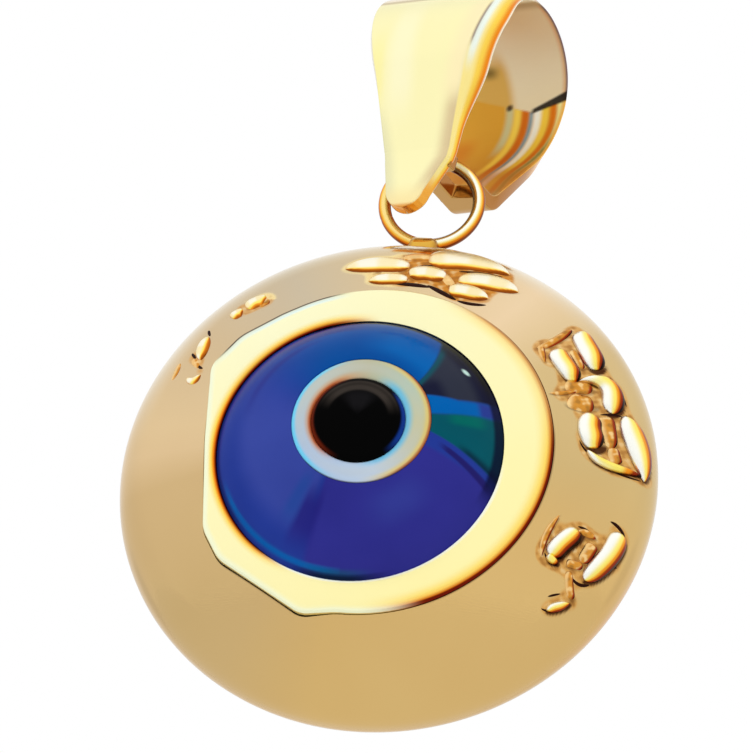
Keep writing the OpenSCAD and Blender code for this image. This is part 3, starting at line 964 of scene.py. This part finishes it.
def rounded(corners, cut, face_steps, bend_steps=5):
    """Points along closed outlines whose corners are cut a distance away and bent round as
    parabolas, with a number of steps along each face. corners is (stations, corners, 2) long."""
    ends = []
    for turn in (1, -1):
        side = np.roll(corners, turn, axis=1) - corners
        length = np.maximum(np.linalg.norm(side, axis=-1, keepdims=True), 1e-6)
        ends.append(corners + side * np.minimum(cut / length, 0.45))
    start, end = ends
    t = np.linspace(0, 1, bend_steps)[:, None]
    parts = []
    for k, steps in enumerate(face_steps):
        a, b, c = start[:, k, None], corners[:, k, None], end[:, k, None]
        parts.append(a * (1 - t) ** 2 + b * 2 * t * (1 - t) + c * t**2)
        share = np.linspace(0, 1, steps + 1)[1:-1, None]
        parts.append(c * (1 - share) + start[:, (k + 1) % len(face_steps), None] * share)
    return np.concatenate(parts, axis=1)


def bail_tones(way, across, out, left, right, bevel):
    """Colours of the bail by the way along its path, the distance across and the height over its
    middle, painted light and shade over the gold. The outer face is pale with painted highlights
    and shade, and its right bevel runs from a painted highlight to painted orange reflection. The
    inner face is painted reflection, beige above and amber below a line at the back leaf's bend,
    with painted shade along that line, and there painted bands of light follow its right edge."""
    top = BAND_T / 2
    inner = smooth(-top + 0.05, -top + 0.015, out)
    outer = smooth(top - 0.05, top - 0.015, out)
    side = 1 - np.clip(inner + outer, 0, 1)
    lean = np.clip((top - out) / BAND_T, 0, 1)
    on_right = side * (across > 0)
    inset = right - across
    from_face = right - bevel - across
    line = 12.2 + 0.3 * np.minimum(inset, 1) - 0.3 * np.maximum(inset - 1, 0)
    below = smooth(line - 0.04, line + 0.04, way)
    bowed = inset + 0.12 * np.sin(1.6 * (way - line))
    # Painted bands of light from the inside of the bend out to its edge: low, high and softness
    light_bands = [
        ((1.36, 1.6, 0.1), (254, 222, 96)), ((1.1, 1.34, 0.08), (222, 120, 36)),
        ((0.97, 1.09, 0.06), (136, 166, 186)), ((0.66, 0.96, 0.08), (255, 255, 250)),
        ((0.5, 0.74, 0.08), (255, 220, 84)), ((0.3, 0.48, 0.08), (232, 130, 34)),
        ((0.1, 0.28, 0.05), (250, 238, 170)),
    ]
    at_line = band(line - 0.28 + 0.16 * inset, line + 0.03, 0.04, way)
    on_edge = band(8.6, 12.2, 0.3, way)
    # Outer face: painted highlights and reflections, painted shade beside the bevel and towards the
    # tongue's tip, a tan painted reflection line over the top, and amber painted reflection low on
    # the back leaf and the bridge
    outside = paint(
        tone(252, 245, 188),
        (0.4 * band(-1, -0.3, 0.25, across) * band(3.2, 6.2, 0.8, way), (255, 252, 222)),
        (0.5 * band(-1.6, -1.2, 0.12, across) * band(3.4, 5.2, 0.6, way), (254, 243, 150)),
        (0.8 * fade(0.05, 0.5, from_face) * band(0.6, 3.4, 0.5, way), (214, 188, 146)),
        (0.5 * fade(0.1, 0.7, from_face) * band(3.4, 6.4, 0.4, way), (255, 234, 190)),
        (0.6 * fade(0, 0.5, left + across) * band(0, 3, 0.6, way), (214, 212, 176)),
        (0.8 * fade(0.05, 0.9, way), (250, 226, 160)),
        (0.9 * fade(0.02, 0.16, way), (226, 150, 60)),
        (0.7 * smooth(6.9, 7.1, way) * fade(7.4, 9.4, way), (238, 214, 190)),
        (0.8 * band(6.8, 7, 0.07, way), (190, 160, 108)),
        (0.9 * smooth(12.4, 15, way), (176, 116, 44)),
        (0.8 * smooth(16, 16.4, way), (196, 150, 80)),
    )
    # Inner face: painted reflections, pale above and amber below the line, with painted bands of
    # light, and painted shade along the line, in the loop's hollow and at the right edge
    inside = paint(
        tone(240, 226, 196),
        (0.6 * fade(8.5, 9, way), (180, 150, 96)),
        (fade(8, 8.4, way), (255, 250, 226)),
        (0.9 * smooth(1.7, 2.1, inset + 0.2 * (way - 11)) * smooth(10.2, 11.2, way),
         (222, 176, 76)),
        (0.8 * band(2.2, 2.6, 0.2, inset) * band(11, 11.3, 0.15, way), (116, 96, 50)),
        (0.6 * band(0.05, 0.16, 0.05, inset) * on_edge, (226, 168, 104)),
        (0.9 * fade(0.03, 0.09, inset) * on_edge, (100, 60, 84)),
        (below, (226, 170, 64)),
        (below * smooth(2.2, 2.8, inset) * smooth(13, 13.6, way), (222, 146, 50)),
        (below * band(1.6, 1.86, 0.1, bowed) * fade(13.4, 14.2, way), (214, 206, 160)),
        *((below * band(*reach, bowed), colour) for reach, colour in light_bands),
        (smooth(13, 14, way) * band(0.12, 0.28, 0.05, bowed), (170, 160, 92)),
        (below * fade(0.08, 0.13, inset), (252, 200, 100)),
        (0.95 * at_line * fade(0.95, 1.1, inset), (26, 20, 22)),
        (0.9 * fade(0.05, 0.14, np.hypot(way - 12.28, inset - 1.75)), (60, 30, 26)),
        (0.7 * smooth(14.4, 15.4, way), (214, 142, 56)),
        (0.7 * smooth(16.2, 16.8, way), (206, 176, 124)),
    )
    # Right bevel: a painted highlight, then painted yellow, orange and brown reflection across it,
    # a painted dark line high up, and darker painted reflection further along
    strip = paint(
        tone(254, 234, 150),
        (0.9 * band(0.12, 0.36, 0.08, lean) * band(4.4, 7.6, 0.5, way), (240, 252, 246)),
        (smooth(0.4, 0.6, lean), (254, 214, 84)),
        (smooth(0.62, 0.86, lean), (240, 138, 30)),
        (0.7 * smooth(0.95, 0.99, lean), (166, 96, 46)),
        (0.9 * band(4.9, 6.3, 0.2, way) * band(0, 0.14, 0.05, lean), (96, 56, 84)),
        (smooth(8, 9, way), (120, 84, 60)),
        (0.4 * band(9.6, 11.8, 0.6, way), (170, 140, 150)),
        (smooth(12.2, 12.8, way), (244, 176, 84)),
        (0.8 * smooth(14.2, 15.2, way), (160, 100, 40)),
        (fade(0.5, 1.1, way), (248, 176, 70)),
    )
    # Left bevel: a pale painted reflection, orange at the tongue's tip
    plain = paint(tone(222, 214, 176), (fade(0.3, 0.8, way), (240, 168, 80)))
    edge = strip * on_right[..., None] + plain * (side - on_right)[..., None]
    return outside * outer[..., None] + inside * inner[..., None] + edge


def make_bail():
    """The bail: a section with bevelled sides carried along its path, as wide as the band there.
    The bevels lean in from the inner face's edges to the outer face. They widen upwards, and the
    left one is half as wide as the right one."""
    path = bail_path()
    length = np.concatenate(([0], np.cumsum(np.linalg.norm(np.diff(path, axis=0), axis=1))))
    tip_fine = TIP_R * (1 - np.cos(np.linspace(0, np.pi / 2, 24)))
    fine = np.concatenate((tip_fine, np.linspace(TIP_R, length[-1], 430)[1:]))
    along, up = (np.interp(fine, length, path[:, k]) for k in (0, 1))
    tangent = joined(np.gradient(along, fine), np.gradient(up, fine))
    tangent = tangent / np.linalg.norm(tangent, axis=1, keepdims=True)
    left, right = band_edges(along, up)
    flare = FRONT_FLARE * band(1.7, 5, 0.9, up) * fade(-0.4, 0.8, along)
    right = right + flare
    bevel = np.clip(BEVEL_LOW + BEVEL_GROW * up, BEVEL_LEAST, BAND_T) + flare
    bevel = np.minimum(bevel, 0.3 * np.maximum(left + right, 0.01))
    top, low = BAND_T / 2, -BAND_T / 2
    corners = ((-left + (bevel - flare) / 2, top), (right - bevel, top), (right, low), (-left, low))
    corners = np.stack([joined(*place) for place in corners], axis=1)
    section = rounded(corners, BAIL_ROUND, (28, 16, 72, 6))
    across, out = section[..., 0], section[..., 1]
    poles = [in_bail(along[k], up[k], (right[k] - left[k]) / 2) for k in (0, -1)]
    along, up = along[:, None] - tangent[:, 1:] * out, up[:, None] + tangent[:, :1] * out
    points, faces = skin(in_bail(along, up, across), *poles)
    tones = bail_tones(fine[:, None], across, out, left[:, None], right[:, None], bevel[:, None])
    tones = np.vstack((tones.reshape(-1, 3), tone(226, 150, 60), tone(206, 176, 124)))
    dull = np.append(0.4 * fade(low, low + 0.03, out), (0, 0))
    piece = mesh_piece("bail_band", points, faces, tones, "bail", dull)
    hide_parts("bail")
    return piece


# Finishes


def give(tree, made, inputs):
    """Gives a node its inputs: constants, or other nodes' outputs."""
    for name, value in inputs.items():
        if isinstance(value, bpy.types.NodeSocket):
            tree.links.new(value, made.inputs[name])
        else:
            made.inputs[name].default_value = value


def node(tree, kind, inputs=None, **settings):
    """A new shader node with its settings and inputs."""
    made = tree.nodes.new("ShaderNode" + kind)
    for name, value in settings.items():
        setattr(made, name, value)
    give(tree, made, inputs or {})
    return made


def maths(tree, operation, a, b):
    """The output of a new math node over two values."""
    return node(tree, "Math", {0: a, 1: b}, operation=operation).outputs["Value"]


def new_material(name):
    material = bpy.data.materials.new(name)
    material.use_nodes = True
    return material, material.node_tree


def polish_group():
    """A shared finish for metal and glass, on object coordinates. The tone is mottled a little in
    soft patches, and fine drawn lines and tiny specks vary the gloss and the height."""
    group = bpy.data.node_groups.new("polished_surface", "ShaderNodeTree")
    for way, names in (
        ("INPUT", ("Tone", "Patch Scale", "Patch Depth", "Line Scale", "Gloss", "Gloss Spread")),
        ("OUTPUT", ("Color", "Roughness", "Height")),
    ):
        for name in names:
            kind = "NodeSocketColor" if name in ("Tone", "Color") else "NodeSocketFloat"
            group.interface.new_socket(name, in_out=way, socket_type=kind)
    given, put = group.nodes.new("NodeGroupInput").outputs, group.nodes.new("NodeGroupOutput")
    place = node(group, "TexCoord").outputs["Object"]
    patches = node(group, "TexNoise", {"Vector": place, "Scale": given["Patch Scale"], "Detail": 2})
    stretch = {"Vector": place, "Rotation": (0.3, 0.2, 0.6), "Scale": (1, 1, 9)}
    drawn = node(group, "Mapping", stretch)
    lines = node(group, "TexNoise", {
        "Vector": drawn.outputs["Vector"], "Scale": given["Line Scale"], "Detail": 4,
    }).outputs["Fac"]
    centred = maths(group, "SUBTRACT", patches.outputs["Fac"], 0.5)
    share = maths(group, "MULTIPLY", centred, given["Patch Depth"])
    mix = node(group, "Mix", {
        "Factor": 1, "A": given["Tone"], "B": maths(group, "ADD", share, 0.5),
    }, data_type="RGBA", blend_type="SOFT_LIGHT")
    spread = maths(group, "MULTIPLY", maths(group, "SUBTRACT", lines, 0.5), given["Gloss Spread"])
    rough = maths(group, "ADD", spread, given["Gloss"])
    give(group, put, {"Color": mix.outputs["Result"], "Roughness": rough, "Height": lines})
    return group


POLISH = polish_group()


def finish(name, metallic, gloss, spread, patch_depth, patch_scale=240, bump=0.03, level=0.5):
    """A finish over a piece's tones, its colour with painted light and shade: its gloss, how far
    that varies, and its patches.
    """
    material, tree = new_material(name)
    tones = node(tree, "Attribute", attribute_name="tone").outputs["Color"]
    dull = node(tree, "Attribute", attribute_name="dull").outputs["Fac"]
    polish = node(tree, "Group", {
        "Tone": tones, "Patch Scale": patch_scale, "Patch Depth": patch_depth, "Line Scale": 2400,
        "Gloss": maths(tree, "ADD", dull, gloss), "Gloss Spread": spread,
    }, node_tree=POLISH).outputs
    height = node(tree, "Bump", {"Strength": bump, "Distance": 0.00002, "Height": polish["Height"]})
    give(tree, tree.nodes["Principled BSDF"], {
        "Metallic": metallic, "Specular IOR Level": level, "Base Color": polish["Color"],
        "Roughness": polish["Roughness"], "Normal": height.outputs["Normal"],
    })
    return material


def finish_with(piece, material):
    piece.data.materials.append(material)


# Studio


def make_floor():
    mesh = bpy.data.meshes.new("floor")
    reach, drop = 5.0, -0.65
    corners = [(x * reach, y * reach, drop) for x, y in ((-1, -1), (1, -1), (1, 1), (-1, 1))]
    mesh.from_pydata(corners, [], [(0, 1, 2, 3)])
    floor = bpy.data.objects.new("floor", mesh)
    bpy.context.scene.collection.objects.link(floor)
    material, tree = new_material("pale_floor")
    give(tree, tree.nodes["Principled BSDF"], {"Base Color": (0.9, 0.9, 0.9, 1), "Roughness": 0.8})
    finish_with(floor, material)


def make_world():
    """A white studio: an even light, a little warmer below and behind, with a broad soft box at
    the upper left, a smaller one at the right, and a dark strip at each side for the rims."""
    world = bpy.data.worlds.new("studio")
    world.use_nodes = True
    bpy.context.scene.world = world
    tree = world.node_tree
    tree.nodes.clear()
    place = node(tree, "TexCoord").outputs["Generated"]

    def glow(azimuth, height, near, far):
        """1 within a cosine near of a direction, 0 outside a cosine far."""
        a, h = math.radians(azimuth), math.radians(height)
        way = (math.sin(a) * math.cos(h), -math.cos(a) * math.cos(h), math.sin(h))
        toward = node(tree, "VectorMath", {0: place, 1: way}, operation="DOT_PRODUCT")
        return node(tree, "MapRange", {
            "Value": toward.outputs["Value"], "From Min": far, "From Max": near,
        }, interpolation_type="SMOOTHSTEP").outputs["Result"]

    # Azimuth, height, cosines near and far, and strength
    boxes = [
        (-40, 45, 0.95, 0.6, 0.06), (60, 50, 0.97, 0.75, 0.05),
        (118, 5, 0.998, 0.97, -0.12), (-125, 0, 0.998, 0.97, -0.12),
    ]
    level = 0.97
    for *place_and_size, strength in boxes:
        extra = maths(tree, "MULTIPLY", glow(*place_and_size), strength)
        level = maths(tree, "ADD", extra, level)
    white = (1, 1, 1, 1)
    warm = node(tree, "Mix", {
        "Factor": glow(180, -35, 0.95, 0.2), "A": white, "B": (0.9, 0.84, 0.76, 1),
    }, data_type="RGBA").outputs["Result"]
    choose = node(tree, "MixShader", {
        "Fac": node(tree, "LightPath").outputs["Is Camera Ray"],
        1: node(tree, "Background", {"Color": warm, "Strength": level}).outputs["Background"],
        2: node(tree, "Background", {"Color": white}).outputs["Background"],
    })
    node(tree, "OutputWorld", {"Surface": choose.outputs["Shader"]})


def make_camera():
    """The camera looks up at the pendant from its lower right, leaning a little."""
    right = Vector((0.9845, 0.1141, 0.1335))
    back = Vector((0.1647, -0.8641, -0.4756)).normalized()
    up = back.cross(right).normalized()
    right = up.cross(back)
    photo_side = 753
    pixel_mm = 0.027414
    body_px = Vector((388.64, 487.34))
    shift = Vector((photo_side / 2, photo_side / 2)) - body_px
    target = Vector(body_centre) + pixel_mm * (right * shift.x - up * shift.y)
    lens, sensor = 700, 36
    distance = photo_side * pixel_mm * lens / sensor
    camera = bpy.data.cameras.new("camera")
    camera.lens, camera.sensor_width = lens, sensor
    camera.clip_start, camera.clip_end = 0.01, 20
    holder = bpy.data.objects.new("camera", camera)
    turned = Matrix((right, up, back)).transposed().to_4x4()
    holder.matrix_world = Matrix.Translation((target + back * distance) * MM) @ turned
    bpy.context.scene.collection.objects.link(holder)
    bpy.context.scene.camera = holder


make_camera()
make_world()
make_floor()
bpy.context.scene.view_settings.view_transform = "Standard"

shell_gold = finish("shell_gold", 1, 0.16, 0.08, 0.12)
finish_with(make_body(), shell_gold)
finish_with(make_lug(), shell_gold)
sprig_gold = finish("sprig_gold", 1, 0.3, 0.1, 0.25, patch_scale=900)
for sprig_name in LEAF_RISE:
    finish_with(make_sprig(sprig_name), sprig_gold)
finish_with(make_bezel(), finish("bezel_gold", 1, 0.22, 0.08, 0.1))
blue_glass = finish("blue_glass", 0, 0.08, 0.04, 0.25, patch_scale=420, bump=0.01, level=0.02)
finish_with(make_dome(), blue_glass)
finish_with(make_white_ring(), finish("white_glass", 0, 0.15, 0.06, 0.1, bump=0.01, level=0.05))
finish_with(make_pupil(), finish("black_glass", 0, 0.1, 0.04, 0.3, bump=0.01, level=0.02))
finish_with(make_jump_ring(), finish("wire_gold", 1, 0.14, 0.06, 0.15, patch_scale=600))
finish_with(make_bail(), finish("bail_gold", 1, 0.16, 0.08, 0.15))
